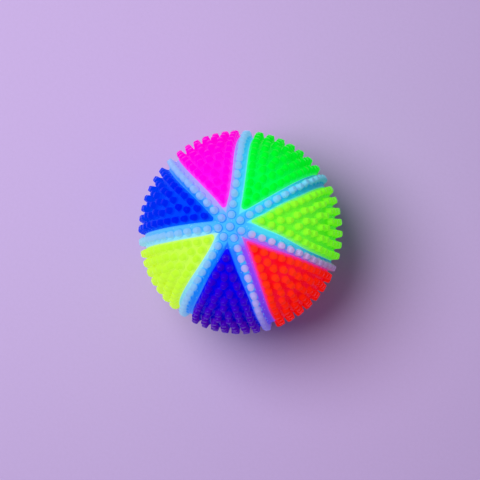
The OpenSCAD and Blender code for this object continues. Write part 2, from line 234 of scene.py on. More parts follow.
class StageSettings(bpy.types.PropertyGroup):
    """Camera, lamp, room and paper"""

    camera_distance: length_property("Camera distance", "From the camera to the ball's middle", 600)
    camera_tilt: angle_property("Camera tilt", "Lean of the view away from the pole", 6.73)
    tilt_heading: angle_property("Tilt heading", "Direction of that lean, from +X", 151.6)
    camera_roll: angle_property("Camera roll", "Turn of the picture about the pole", -19.63)
    lens: number_property("Lens", "Focal length in millimetres", 122.25)
    key_power: number_property("Key power", "Power of the large soft lamp in watts", 3.85)
    key_size: length_property("Key size", "Width of the large soft lamp", 440)
    key_distance: length_property("Key distance", "From the lamp to the ball", 580)
    ambient: number_property("Ambient", "Strength of the light from all sides", 0.19)
    room_colour: shade_property("Room", "Colour of that light", (1.0, 0.88, 1.22, 1.0))
    floor_colour: shade_property(
        "Paper", "Colour of the paper under the ball", colour(190, 168, 217))


# The ball's middle lies this far off the middle of the picture, in pixels to the right and up
PICTURE_PIXELS = 480
BALL_OFF_MIDDLE = (0.47, 7.75)
# Where the lamp stands, along the picture's right, its up and towards the camera
KEY_DIRECTION = (-0.435, 0.25, 0.866)
KEY_COLOUR = (1.0, 0.99, 0.94)
# The paper reaches this far each way, just under the lowest nubs
PAPER_HALF = 2.0
PAPER_DROP = 0.02 * MM


def math_method(operation, reflected=False):
    """A method of Value that adds one Math node. A reflected one has its own value last."""

    def method(self, *others):
        made = self.graph.node("ShaderNodeMath", {"operation": operation})
        given = (*others, self) if reflected else (self, *others)
        for socket, value in zip(made.inputs, given):
            self.graph.feed(socket, value)
        return self.graph.out(made)

    return method


class Value:
    """A socket that can stand in a sum: each sum adds the node that works it out."""

    __add__ = math_method("ADD")
    __radd__ = math_method("ADD", reflected=True)
    __sub__ = math_method("SUBTRACT")
    __rsub__ = math_method("SUBTRACT", reflected=True)
    __mul__ = math_method("MULTIPLY")
    __rmul__ = math_method("MULTIPLY", reflected=True)
    __truediv__ = math_method("DIVIDE")
    __mod__ = math_method("FLOORED_MODULO")
    __gt__ = math_method("GREATER_THAN")
    floor = math_method("FLOOR")
    round = math_method("ROUND")
    absolute = math_method("ABSOLUTE")
    root = math_method("SQRT")
    sine = math_method("SINE")
    cosine = math_method("COSINE")
    arcsine = math_method("ARCSINE")
    heading = math_method("ARCTAN2")
    at_most = math_method("MINIMUM")
    at_least = math_method("MAXIMUM")

    def __init__(self, graph, socket):
        self.graph = graph
        self.socket = socket

    def between(self, low, high):
        """0 below low, 1 above high, and a smooth step from one to the other."""
        return self.graph.value(
            "ShaderNodeMapRange",
            {"interpolation_type": "SMOOTHSTEP"},
            {"Value": self, "From Min": low, "From Max": high, "To Min": 0.0, "To Max": 1.0},
        )


class Graph:
    """A node tree that is filled from Python."""

    def __init__(self, tree):
        self.tree = tree

    def node(self, kind, settings=None, inputs=None):
        """Adds a node of a type, with its settings first, then its sockets' values or links."""
        made = self.tree.nodes.new(kind)
        for name, setting in (settings or {}).items():
            if name == "stops":
                self.set_stops(made.color_ramp, setting)
            else:
                setattr(made, name, setting)
        for name, given in (inputs or {}).items():
            self.feed(made.inputs[name], given)
        return made

    def set_stops(self, ramp, stops):
        while len(ramp.elements) < len(stops):
            ramp.elements.new(1.0)
        for element, (place, shade) in zip(ramp.elements, stops):
            element.position = place
            element.color = shade

    def feed(self, socket, given):
        if isinstance(given, Value):
            self.tree.links.new(given.socket, socket)
        else:
            socket.default_value = given

    def out(self, node, name=0):
        return Value(self, node.outputs[name])

    def value(self, kind, settings=None, inputs=None, out=0):
        """Adds a node and gives one of its outputs."""
        return self.out(self.node(kind, settings, inputs), out)

    def mix(self, factor, first, second):
        """Mixes two colours."""
        return self.value(
            "ShaderNodeMix", {"data_type": "RGBA"}, {0: factor, 6: first, 7: second}, 2
        )

    def vector(self, operation, *given, out="Vector"):
        made = self.node("ShaderNodeVectorMath", {"operation": operation})
        for socket, value in zip(made.inputs, given):
            self.feed(socket, value)
        return self.out(made, out)

    def scaled(self, vector, factor):
        return self.value(
            "ShaderNodeVectorMath", {"operation": "SCALE"}, {"Vector": vector, "Scale": factor}
        )

    def noise(self, place, scale, detail=2.0, rough=0.5):
        return self.value(
            "ShaderNodeTexNoise",
            {"noise_dimensions": "3D"},
            {"Vector": place, "Scale": scale, "Detail": detail, "Roughness": rough},
        )

    def random(self, kind, low, high, seed):
        """Numbers or vectors at random. The node has sockets of its own for each kind."""
        made = self.node("FunctionNodeRandomValue", {"data_type": kind}, {"Seed": seed})
        first = {"FLOAT_VECTOR": 0, "FLOAT": 2}[kind]
        made.inputs[first].default_value = low
        made.inputs[first + 1].default_value = high
        return self.out(made, first // 2)


class Finish(Graph):
    """A material with one Principled shader."""

    def __init__(self, name, **constants):
        self.material = bpy.data.materials.new(name)
        self.material.use_nodes = True
        super().__init__(self.material.node_tree)
        self.shader = self.tree.nodes["Principled BSDF"]
        for socket, value in constants.items():
            self.shader.inputs[socket.replace("_", " ")].default_value = value

    def set(self, name, given):
        self.feed(self.shader.inputs[name], given)

    def place(self):
        """Object coordinates."""
        return self.value("ShaderNodeTexCoord", out="Object")

    def split(self, place):
        made = self.node("ShaderNodeSeparateXYZ", None, {0: place})
        return [self.out(made, axis) for axis in "XYZ"]

    def cells(self, place, scale):
        """Distance to the middle of the nearest of many cells."""
        return self.value(
            "ShaderNodeTexVoronoi", {"feature": "F1"}, {"Vector": place, "Scale": scale},
            "Distance",
        )

    def bump(self, height, distance, strength):
        normal = self.value(
            "ShaderNodeBump", None,
            {"Height": height, "Distance": distance, "Strength": strength}, "Normal",
        )
        self.set("Normal", normal)


def finish_mesh(name, vertices, faces):
    """A mesh from points and faces, with doubles merged, empty faces gone and faces outward."""
    mesh = bpy.data.meshes.new(name)
    mesh.from_pydata(vertices, [], faces)
    work = bmesh.new()
    work.from_mesh(mesh)
    bmesh.ops.remove_doubles(work, verts=work.verts, dist=MERGE)
    bmesh.ops.dissolve_degenerate(work, edges=work.edges, dist=MERGE)
    bmesh.ops.recalc_face_normals(work, faces=work.faces)
    for face in work.faces:
        face.smooth = True
    work.to_mesh(mesh)
    work.free()
    return mesh


def steps(first, last, count):
    """Values in even steps from first to last."""
    return [first + (last - first) * i / count for i in range(count + 1)]


def spin(x, y, angle):
    return (x * math.cos(angle) - y * math.sin(angle), x * math.sin(angle) + y * math.cos(angle))


def joined(rows, closed=False):
    """Faces between each row of points and the next, whose ends meet if they are closed."""
    faces = []
    for low, high in zip(rows, rows[1:]):
        for j in range(len(low) if closed else len(low) - 1):
            after = (j + 1) % len(low)
            faces.append((low[j], low[after], high[after], high[j]))
    return faces


def fan(point, ring):
    """Faces between a point and a closed ring of points."""
    return [(ring[j], ring[(j + 1) % len(ring)], point) for j in range(len(ring))]


def place_object(name, made_from):
    made = bpy.data.objects.new(name, made_from)
    bpy.context.scene.collection.objects.link(made)
    return made


def make_nub(sizes):
    """One nub on +Z with its root at the origin, as a turned profile closed at both ends."""
    height, root, tip = sizes.nub_height, sizes.nub_root, sizes.nub_tip
    profile = [(root + sizes.root_flare, -FLARE_SINK), (root + sizes.root_flare / 4, FLARE_SINK)]
    profile += [(root * wide, height * up) for wide, up in NUB_FLANK]
    profile += [(tip * wide, height * up) for wide, up in NUB_TOP]
    angles = steps(0, math.tau, sizes.nub_sides)[:-1]
    points = [(*spin(reach, 0.0, angle), z) for reach, z in profile for angle in angles]
    top = len(points)
    points.append((0, 0, height))
    rings = [range(first, first + len(angles)) for first in range(0, top, len(angles))]
    faces = [*joined(rings, closed=True), *fan(top, rings[-1]), tuple(rings[0])]
    return place_object("nub_pattern", finish_mesh("nub_pattern", points, faces))


NUB_SOCKETS = {
    "Object": ("Nub",),
    "Material": ("Material",),
    "Vector": ("Centre",),
    "Float": ("Skin Radius", "First Row", "Row Step", "Heading", "Turn", "Column Reach",
              "Side Pitch", "Root Width", "Side", "Lean"),
    "Int": ("Rows", "Columns", "Sectors", "Seed"),
}


def row_points(graph, given):
    """The points on which nubs stand. Each point's index says its sector, row and column."""
    index = graph.value("GeometryNodeInputIndex")
    columns, rows, skin = given["Columns"], given["Rows"], given["Skin Radius"]
    column = index % columns
    row = (index / columns).floor() % rows
    sector = (index / (columns * rows)).floor()
    tilt = given["First Row"] + row * given["Row Step"]
    around = skin * tilt.sine()
    spare = given["Turn"] - 2 * (given["Column Reach"] / around).at_most(1.0).arcsine()
    room = spare * around
    most = (room / given["Root Width"]).floor()
    nubs = (room / given["Side Pitch"] + 0.5).floor().at_most(most).at_least(0.0) + 1
    share = (column / (nubs - 1).at_least(1.0) - 0.5) * (nubs > 1.5)
    heading = given["Heading"] + sector * given["Turn"] + spare * share
    outward = graph.value("ShaderNodeCombineXYZ", None, {
        "X": tilt.sine() * heading.cosine(),
        "Y": tilt.sine() * heading.sine(),
        "Z": tilt.cosine() * given["Side"],
    })
    points = graph.value("GeometryNodePoints", None, {
        "Count": columns * rows * given["Sectors"],
        "Position": graph.vector("ADD", given["Centre"], graph.scaled(outward, skin)),
    })
    return graph.value(
        "GeometryNodeDeleteGeometry", {"domain": "POINT"},
        {"Geometry": points, "Selection": 1 - (nubs > column)},
    )


def standing_nubs(graph, given, points):
    """A nub on each point, along its radius, leaning a little, with its own tone and its root."""
    position = graph.value("GeometryNodeInputPosition")
    upright = graph.value(
        "FunctionNodeAlignRotationToVector", {"axis": "Z"},
        {"Vector": graph.vector("SUBTRACT", position, given["Centre"])},
    )
    pattern = graph.value(
        "GeometryNodeObjectInfo", {"transform_space": "ORIGINAL"},
        {"Object": given["Nub"], "As Instance": True}, "Geometry",
    )
    nubs = graph.value("GeometryNodeInstanceOnPoints", None, {
        "Points": points, "Instance": pattern, "Rotation": upright,
        "Scale": graph.random("FLOAT", LEAST_NUB, 1.0, given["Seed"]),
    })
    sway = graph.random("FLOAT_VECTOR", (-1.0, -1.0, 0.0), (1.0, 1.0, 0.0), given["Seed"] + 1)
    nubs = graph.value("GeometryNodeRotateInstances", None, {
        "Instances": nubs, "Rotation": graph.scaled(sway, given["Lean"]), "Local Space": True,
    })
    for name, kind, value in (
        ("nub_tone", "FLOAT", graph.random("FLOAT", 0.0, 1.0, given["Seed"] + 2)),
        ("nub_root", "FLOAT_VECTOR", graph.value("GeometryNodeInputPosition")),
    ):
        nubs = graph.value(
            "GeometryNodeStoreNamedAttribute", {"data_type": kind, "domain": "INSTANCE"},
            {"Geometry": nubs, "Name": name, "Value": value},
        )
    return nubs


def nub_field_tree():
    """Rows of nubs around the pole. A row gains nubs as its sector widens, and a strap has one."""
    tree = bpy.data.node_groups.new("nub field", "GeometryNodeTree")
    tree.interface.new_socket("Geometry", in_out="OUTPUT", socket_type="NodeSocketGeometry")
    for kind, names in {"Geometry": ("Geometry",), **NUB_SOCKETS}.items():
        for name in names:
            tree.interface.new_socket(name, in_out="INPUT", socket_type="NodeSocket" + kind)
    graph = Graph(tree)
    entry = graph.node("NodeGroupInput")
    given = {name: graph.out(entry, name) for names in NUB_SOCKETS.values() for name in names}
    nubs = standing_nubs(graph, given, row_points(graph, given))
    join = graph.node("GeometryNodeJoinGeometry")
    graph.feed(join.inputs[0], nubs)
    graph.feed(join.inputs[0], graph.out(entry, "Geometry"))
    real = graph.value("GeometryNodeRealizeInstances", None, {0: graph.out(join)})
    dressed = graph.value(
        "GeometryNodeSetMaterial", None, {"Geometry": real, "Material": given["Material"]}
    )
    graph.node("NodeGroupOutput", None, {"Geometry": dressed})
    return tree


def grow_nubs(piece, tree, values):
    """Adds the nub field to a piece and makes the result its plain mesh."""
    live = piece.modifiers.new("nub field", "NODES")
    live.node_group = tree
    for socket in tree.interface.items_tree:
        if socket.in_out == "INPUT" and socket.name in values:
            live[socket.identifier] = values[socket.name]
    graph = bpy.context.evaluated_depsgraph_get()
    mesh = bpy.data.meshes.new_from_object(
        piece.evaluated_get(graph), preserve_all_data_layers=True, depsgraph=graph
    )
    piece.modifiers.remove(live)
    mesh.name = piece.name
    piece.data = mesh


# How a petal lies, in millimetres: to the left of its place at its tip, in its upper part and at
# the seam, and away from the pole, first with its recess and then by itself, and the radii of its
# point and of its recess's point
Seat = namedtuple("Seat", "tip_aside aside seam_aside along loose point recess")
PETAL_SEAT = {
    "lime": Seat(1.1, 0.65, -0.45, 0.75, 0.0, 0.7, 0.7),
    "green": Seat(-0.35, -0.42, -0.3, 0.0, 0.0, 1.3, 1.3),
    "magenta": Seat(-0.25, -0.6, -0.3, -0.15, 0.0, 1.0, 1.0),
    "blue": Seat(-0.4, -0.5, -0.25, -0.6, 0.0, 0.9, 0.9),
    "yellow": Seat(-0.4, 0.0, -0.15, -0.95, 0.0, 1.2, 1.2),
    "purple": Seat(-0.3, -0.25, 0.9, 0.0, 0.9, 0.85, 0.05),
    "red": Seat(0.5, 0.5, 1.15, 0.1, 1.0, 0.6, 0.1),
}
# Turn in degrees by which each strap drifts from its place on its way to the seam
STRAP_DRIFT = (-1.5, 0.9, 2.6, 0.2, 0.2, -2.4, -3.1)
# Tilts in degrees between which a petal's tip gives over to its upper part and that to the seam,
# its shift away from the pole dies out, the base begins to give way, and the straps drift
TIP_TILTS = (12, 20)
SEAM_TILTS = (24, 54)
ALONG_TILTS = (18, 48)
GIVE_TILTS = (5, 8.5)
DRIFT_TILTS = (14, 66)


def smooth_step(value, low, high):
    """0 below low, 1 above high, and a smooth step from one to the other."""
    share = min(max((value - low) / (high - low), 0.0), 1.0)
    return share * share * (3 - 2 * share)


def seat_shift(petal, tilt, own):
    """How far a petal, or the base around it, is shifted in the plane across the poles."""
    seat = PETAL_SEAT[PETALS[petal]]
    heading = (petal + 0.5) * TURN
    aside = seat.aside + (seat.seam_aside - seat.aside) * smooth_step(tilt, *SEAM_TILTS)
    aside += (seat.tip_aside - seat.aside) * (1 - smooth_step(tilt, *TIP_TILTS))
    along = (seat.along + (seat.loose if own else 0.0)) * (1 - smooth_step(tilt, *ALONG_TILTS))
    return Vector((*spin(along, aside, heading), 0)) * MM


def settled(sizes, outward, side, petal):
    """Where the point of the skin in a direction ends up. petal is the petal it's on, or None."""
    level = math.hypot(outward.x, outward.y)
    tilt = math.degrees(math.atan2(level, abs(outward.z)))
    turns = math.atan2(outward.y, outward.x) / TURN
    before = math.floor(turns)
    shift = Vector((0, 0, 0))
    if side > 0 and petal is not None:
        shift = seat_shift(petal, tilt, True)
    elif side > 0:
        # The base gives way beside a petal and stays under the middle of a strap
        aside = abs(math.sin((turns - round(turns)) * TURN)) * level * sizes.skin
        give = min(aside / sizes.strap_half, 1.0) * smooth_step(tilt, *GIVE_TILTS)
        shift = seat_shift(before % len(PETALS), tilt, False) * give
    place = (outward * sizes.skin + shift).normalized()
    share = smooth_step(turns - before, 0, 1)
    drift = (
        STRAP_DRIFT[before % len(PETALS)] * (1 - share)
        + STRAP_DRIFT[(before + 1) % len(PETALS)] * share
    ) * smooth_step(tilt, *DRIFT_TILTS)
    place.rotate(Matrix.Rotation(math.radians(drift), 3, "Z"))
    return place


def settle(piece, sizes, side, petal=None):
    """Keeps each point's nominal place for its finish, then moves the skin as hands left it.

    A nub turns about the middle as one piece, by what its root moves. The ball's weight presses
    its lowest nubs flat on the ground.
    """
    mesh = piece.data
    nominal = mesh.attributes.new("nominal", "FLOAT_VECTOR", "POINT")
    roots = mesh.attributes["nub_root"].data
    for index, vertex in enumerate(mesh.vertices):
        place = vertex.co - CENTRE
        nominal.data[index].vector = place
        root = Vector(roots[index].vector)
        outward = ((root - CENTRE) if root.length else place).normalized()
        moved = settled(sizes, outward, side, petal)
        vertex.co = CENTRE + outward.rotation_difference(moved) @ place
        vertex.co.z = max(vertex.co.z, 0.0)
    mesh.attributes.remove(mesh.attributes["nub_root"])


def arc_row(start, end, count):
    """Points from start to end about the pole, whose distances from it may differ."""
    first, last = math.atan2(start[1], start[0]), math.atan2(end[1], end[0])
    if last < first - 1e-9:
        last += math.tau
    radii = steps(math.hypot(*start), math.hypot(*end), count)
    return [spin(radius, 0.0, angle) for radius, angle in zip(radii, steps(first, last, count))]


def outline(edge, point, inset, skin, foot):
    """Half of a petal's outline from its point to the seam, seen from the pole, as (x, y).

    edge is its distance from the strap's middle, point the radius of its point, inset how far
    inside that outline the line runs, and foot the height above the seam at which it ends.
    """
    middle = (edge + point) / math.sin(HALF)
    radius, offset = point - inset, edge + inset
    line = [
        (middle - radius * math.cos(angle), radius * math.sin(angle))
        for angle in steps(0, math.pi / 2 - HALF, POINT_STEPS)
    ]
    first = math.asin(math.hypot(middle * math.cos(HALF), offset) / skin)
    last = math.acos(foot / skin)
    for tilt in steps(first, last, SIDE_STEPS)[1:]:
        along = math.sqrt((skin * math.sin(tilt)) ** 2 - offset * offset)
        line.append(spin(along, -offset, HALF))
    return line


def edge_lines(sizes, edge, point, curve, foot, bottom):
    """Outlines down a rounded edge and on to a radius of bottom, each with its own radius.

    curve is the edge's rounding, below 0 where that widens the outline instead.
    """
    lines = []
    for angle in steps(0, math.pi / 2, ROUND_STEPS):
        inset, drop = curve * (1 - math.sin(angle)), abs(curve) * (1 - math.cos(angle))
        lines.append((outline(edge, point, inset, sizes.skin, foot), sizes.skin - drop))
    lines.append((lines[-1][0], bottom))
    return lines


class Sheet:
    """Points and faces of a rubber sheet, whose points are given as they are seen from the pole."""

    def __init__(self, sizes, side):
        self.skin, self.side = sizes.skin, side
        self.points, self.faces = [], []

    def add(self, x, y, radius):
        """Adds the point at radius on the line from the middle to the skin over x, y."""
        z = math.sqrt(max(self.skin * self.skin - x * x - y * y, 0.0))
        share = radius / self.skin
        self.points.append(
            (CENTRE.x + x * share, CENTRE.y + y * share, CENTRE.z + self.side * z * share)
        )
        return len(self.points) - 1

    def row(self, places, radius, angle=0.0):
        """Adds points at one radius, turned about the pole by angle."""
        return [self.add(*spin(x, y, angle), radius) for x, y in places]


def petal_mesh(name, sizes, side, heading, point):
    """A curved sheet with a rounded edge. point is the radius of its point."""
    sheet = Sheet(sizes, side)
    lines = edge_lines(
        sizes, sizes.strap_half + sizes.side_gap, point,
        min(sizes.edge_round, point * POINT_SHARE), sizes.petal_gap / 2,
        sizes.skin - sizes.petal_thickness,
    )
    top, under = (
        [sheet.row(arc_row((x, -y), (x, y), PETAL_COLUMNS), radius, heading) for x, y in line]
        for line, radius in (lines[0], lines[-1])
    )
    sheet.faces += joined(top) + joined(under)
    # Each side's edge runs down from the top sheet to the one under it
    feet = []
    for hand, column in ((1, -1), (-1, 0)):
        stack = [[row[column] for row in top]]
        for line, radius in lines[1:-1]:
            stack.append(sheet.row([(x, hand * y) for x, y in line], radius, heading))
        stack.append([row[column] for row in under])
        sheet.faces += joined(stack)
        feet.append([row[-1] for row in stack[1:-1]])
    sheet.faces.append((*top[-1], *feet[0], *under[-1][::-1], *feet[1][::-1]))
    return finish_mesh(name, sheet.points, sheet.faces)


def base_ring(sheet, sizes, recesses, i):
    """One row once around the base: across each strap, down into a recess, over it and up."""
    ring = []
    for s, lines in enumerate(recesses):
        before, after = (s - 0.5) * TURN, (s + 0.5) * TURN
        (x, y), (floor_x, floor_y) = lines[0][0][i], lines[-1][0][i]
        strap = arc_row(
            spin(*recesses[s - 1][0][0][i], before), spin(x, -y, after), STRAP_COLUMNS
        )
        ring += sheet.row(strap, sizes.skin)
        for line, radius in lines[1:]:
            x, y = line[i]
            ring += sheet.row([(x, -y)], radius, after)
        floor = arc_row((floor_x, -floor_y), (floor_x, floor_y), PETAL_COLUMNS)
        ring += sheet.row(floor[1:], sizes.floor, after)
        for line, radius in lines[-2:0:-1]:
            ring += sheet.row([line[i]], radius, after)
    return ring


def close_hub(sheet, ring):
    """The hub: smaller and smaller rings inside the straps' first row, and the pole."""
    block = len(ring) // len(PETALS)
    outer = [ring[s * block + j] for s in range(len(PETALS)) for j in range(STRAP_COLUMNS + 1)]
    edge = [(x - CENTRE.x, y - CENTRE.y) for x, y, _ in (sheet.points[v] for v in outer)]
    hub = [
        sheet.row([(x * share, y * share) for x, y in edge], sheet.skin)
        for share in steps(0, 1, HUB_ROWS)[1:-1]
    ]
    hub.append(outer)
    pole = sheet.add(0, 0, sheet.skin)
    sheet.faces += fan(pole, hub[0]) + joined(hub, closed=True)


def inside_profile(sizes, side):
    """Radius and height from the middle of the seam's lap and the cavity, from the seam inwards."""
    cavity, gap, top = sizes.cavity, sizes.lap_gap, sizes.lap_height
    inner = cavity + sizes.lap_step
    outer = inner + sizes.lap_thickness
    grip = sizes.capsule_radius + gap
    if side > 0:
        profile = [(outer + gap, 0.0), (outer + gap, top + gap)]
        first, last = math.asin((top + gap) / cavity), math.pi / 2
    else:
        profile = [(outer, 0.0), (outer, top), (inner, top), (inner, 0.0)]
        first, last = 0.0, math.acos((grip + sizes.socket_wall) / cavity)
    for angle in steps(first, last, CAVITY_STEPS):
        profile.append((cavity * math.cos(angle), side * cavity * math.sin(angle)))
    if side < 0:
        foot = capsule_low.z - CENTRE.z
        rim = foot + sizes.socket_height
        profile += [(grip + sizes.socket_wall, rim), (grip, rim), (grip, foot), (0.0, foot)]
    return profile


def base_mesh(name, sizes, side):
    """Half of the base: hub, seven straps, seven recesses, the seam's lap and the cavity."""
    sheet = Sheet(sizes, side)
    recesses = [
        edge_lines(sizes, sizes.strap_half, PETAL_SEAT[petal].recess * MM + sizes.side_gap,
                   -sizes.edge_round, 0.0, sizes.floor)
        for petal in PETALS
    ]
    rows = len(recesses[0][0][0])
    rings = [base_ring(sheet, sizes, recesses, i) for i in range(rows)]
    close_hub(sheet, rings[0])
    foot = [sheet.points[v] for v in rings[-1]]
    headings = [math.atan2(y - CENTRE.y, x - CENTRE.x) for x, y, _ in foot]
    for radius, height in inside_profile(sizes, side):
        first = len(sheet.points)
        for angle in headings:
            x, y = spin(radius, 0.0, angle)
            sheet.points.append((CENTRE.x + x, CENTRE.y + y, CENTRE.z + height))
        rings.append(range(first, len(sheet.points)))
    sheet.faces += joined(rings, closed=True)
    return finish_mesh(name, sheet.points, sheet.faces)


# Colours of each petal, in the order of PetalShades
PETAL_SHADES = {
    "lime": ((114, 252, 50), (66, 232, 0), (145, 250, 44), (118, 248, 36), (135, 252, 130),
             (112, 246, 236), 0.6),
    "green": ((0, 255, 76), (0, 230, 22), (0, 246, 44), (0, 232, 36), (36, 252, 128),
              (110, 236, 236), 0.78),
    "magenta": ((255, 4, 238), (253, 0, 212), (255, 0, 232), (251, 0, 210), (248, 66, 246),
                (190, 160, 250), 0.9),
    "blue": ((0, 66, 252), (0, 46, 230), (0, 22, 238), (0, 58, 236), (0, 92, 252),
             (38, 150, 251), 0.86),
    "yellow": ((199, 252, 78), (195, 240, 26), (187, 248, 48), (200, 245, 66), (200, 252, 98),
               (178, 243, 205), 0.85),
    "purple": ((0, 0, 238), (2, 0, 176), (48, 0, 206), (74, 0, 172), (0, 12, 240),
               (16, 104, 252), 0.6),
    "red": ((255, 10, 14), (230, 0, 0), (255, 52, 18), (244, 20, 4), (255, 52, 160),
            (222, 66, 222), 0.72),
}
# Colours of each strap between two petals, in the order of StrapShades
STRAP_SHADES = {
    "red to lime": ((190, 165, 226), (176, 140, 192), (186, 98, 238), (204, 50, 176),
                    (76, 212, 240), (14, 152, 190)),
    "lime to green": ((120, 200, 242), (112, 200, 222), (34, 214, 236), (4, 164, 204),
                      (56, 213, 240), (26, 205, 195)),
    "green to magenta": ((135, 190, 242), (133, 194, 236), (66, 206, 249), (0, 186, 230),
                         (174, 148, 249), (150, 140, 247)),
    "magenta to blue": ((140, 182, 246), (150, 186, 243), (165, 155, 248), (151, 150, 246),
                        (20, 114, 250), (58, 144, 250)),
    "blue to yellow": ((132, 190, 246), (148, 205, 232), (90, 185, 251), (92, 180, 247),
                       (140, 220, 248), (150, 222, 240)),
    "yellow to purple": ((128, 185, 240), (146, 191, 230), (148, 222, 242), (118, 210, 230),
                         (8, 126, 252), (18, 118, 242)),
    "purple to red": ((176, 168, 238), (130, 118, 214), (40, 112, 251), (48, 70, 236),
                      (142, 50, 248), (94, 34, 224)),
}
HUB_NUB = colour(124, 180, 248)
HUB_SHEET = colour(62, 176, 255)
HUB_CLOUD = colour(88, 190, 255)
# Painted shade around the roots of the nubs at the hub
HUB_ROOT_SHADE = colour(0, 134, 255)
BUBBLE = colour(190, 235, 255)
# Share of the base's colour painted as glow, in place of light from the capsule inside
BASE_GLOW = 0.8

# Strength and colour of the rubber's shine
BASE_SHINE = 0.08, colour(90, 190, 255)
PETAL_SHINE = 0.06
PURPLE_SHINE = 0.2, (0.5, 0.22, 1.0, 1.0)

# Tilts in degrees between which colours change from those near the hub to those at the seam,
# which are partly painted shade, and from the hub's own to the straps'
SEAM_SHADE_TILTS = (28, 78)
HUB_TILTS = (8, 15)
# Heights above the skin between which the painted shade around a nub's root comes and goes,
# and the colour of its top comes
ROOT_SHADE_RISE = (0.0, 0.1 * MM)
ROOT_SHADE_FALL = (0.2 * MM, 0.7 * MM)
TOP_RISE = (0.2 * MM, 1.0 * MM)
# Distances from a petal's edge between which the edge's colour gives over to the sheet's
# The edge's paler colour is painted light: the clear base's glow showing through the thin edge
EDGE_FADE = (0.1 * MM, 1.3 * MM)
# Shares of the turn from strap to strap for which a nub's and a rim's colour are held to each
# side, and within which the tints of a strap's sides change over
NUB_HOLD = 0.2 / len(PETALS)
RIM_HOLD = 0.36 / len(PETALS)
SIDES_HOLD = 0.05 / len(PETALS)
# Scales of the clouds and the grain on the base and on the petals, and of the base's bubbles
BASE_CLOUD, BASE_GRAIN = 160.0, 1400.0
PETAL_CLOUD, PETAL_GRAIN = 140.0, 1500.0
BUBBLES = 900.0
# Shares of the glow that are lost on the shaded side and below, as painted shade
SHADED_LOSS = 0.55
LOW_LOSS = 0.7
# Heading of painted shade on the side away from the key lamp, at the first two straps
SHADED_HEADING = 0.4 * TURN


def fill_shades(scene):
    """Gives the scene its sets of colours for the petals and the straps, unless it has them."""
    for group, table, kinds in (
        (scene.ball_petals, PETAL_SHADES,
         ("sheet", "far_sheet", "nub", "far_nub", "edge", "rim", "glow")),
        (scene.ball_straps, STRAP_SHADES,
         ("nub", "far_nub", "right", "far_right", "left", "far_left")),
    ):
        if len(group):
            continue
        for name, given in table.items():
            shades = group.add()
            shades.name = name
            for kind, shade in zip(kinds, given):
                setattr(shades, kind, shade if kind == "glow" else colour(*shade))


def dim(shade, share):
    return tuple(part * share for part in shade[:3]) + (1.0,)


class Rubber(Finish):
    """A finish of the skin, which knows where on the unmoved ball each point belongs."""

    def __init__(self, name, sizes, glow, shine):
        level, tint = shine
        super().__init__(
            name, Emission_Strength=glow, Specular_IOR_Level=level, Specular_Tint=tint
        )
        self.glow = glow
        self.here = self.attribute("nominal", "Vector")
        x, y, self.z = self.split(self.here)
        reach = self.vector("LENGTH", self.here, out="Value")
        self.upright = self.z.absolute() / reach
        self.heading = y.heading(x)
        off = self.heading - (self.heading / TURN).round() * TURN
        self.aside = (x * x + y * y).root() * off.absolute().sine()
        # Partly painted shade: the colours towards the seam, mostly darker
        self.far = self.tilted(*SEAM_SHADE_TILTS)
        rise = reach - sizes.skin
        # Where the painted shade in a ring around a nub's root lies
        self.root = rise.between(*ROOT_SHADE_RISE) * (1 - rise.between(*ROOT_SHADE_FALL))
        self.top = rise.between(*TOP_RISE)

    def attribute(self, name, out):
        return self.value(
            "ShaderNodeAttribute", {"attribute_type": "GEOMETRY", "attribute_name": name},
            out=out,
        )

    def tilted(self, low, high):
        """0 within low degrees of a pole, 1 beyond high, and a smooth step between them."""
        return 1 - self.upright.between(math.cos(math.radians(high)), math.cos(math.radians(low)))

    def ramp(self, stops):
        """Colours around the pole, each with its share of the turn."""
        share = (self.heading / math.tau) % 1.0
        return self.value("ShaderNodeValToRGB", {"stops": stops}, {"Fac": share})

    def around(self, shades, first, hold):
        """Equal steps around the pole from a first share of the turn, each held for a while."""
        stops = []
        for i, shade in enumerate(shades):
            middle = first + i / len(shades)
            stops += [((middle - hold) % 1.0, shade), ((middle + hold) % 1.0, shade)]
        stops.sort(key=lambda stop: stop[0])
        # Where the turn begins again, the colour lies on the line from the last stop to the first
        (first_place, first_shade), (last_place, last_shade) = stops[0], stops[-1]
        share = (1 - last_place) / (1 - last_place + first_place)
        seam = tuple(a + (b - a) * share for a, b in zip(last_shade, first_shade))
        return self.ramp([(0.0, seam), *stops, (1.0, seam)])

    def sides_of_straps(self, sides):
        """The right and the left tint of each strap, which change over within its nubs."""
        right, left = sides[0]
        middle = tuple((a + b) / 2 for a, b in zip(right, left))
        stops = [(0.0, middle), (SIDES_HOLD, left)]
        for strap, (before, after) in enumerate(sides[1:], 1):
            place = strap / len(sides)
            stops += [(place - SIDES_HOLD, before), (place + SIDES_HOLD, after)]
        return self.ramp([*stops, (1 - SIDES_HOLD, right), (1.0, middle)])

    def lit(self, body, shaded=0.0):
        """Part of the colour is painted glow, cut where shaded and below as painted shade; the rest
        is lit.
        """
        low = (self.z / -TIP_RADIUS).between(-0.05, 0.45)
        kept = (1 - shaded * SHADED_LOSS) * (1 - low * LOW_LOSS)
        self.set("Base Color", self.scaled(body, 1.02 - kept * self.glow))
        self.set("Emission Color", self.scaled(body, kept))


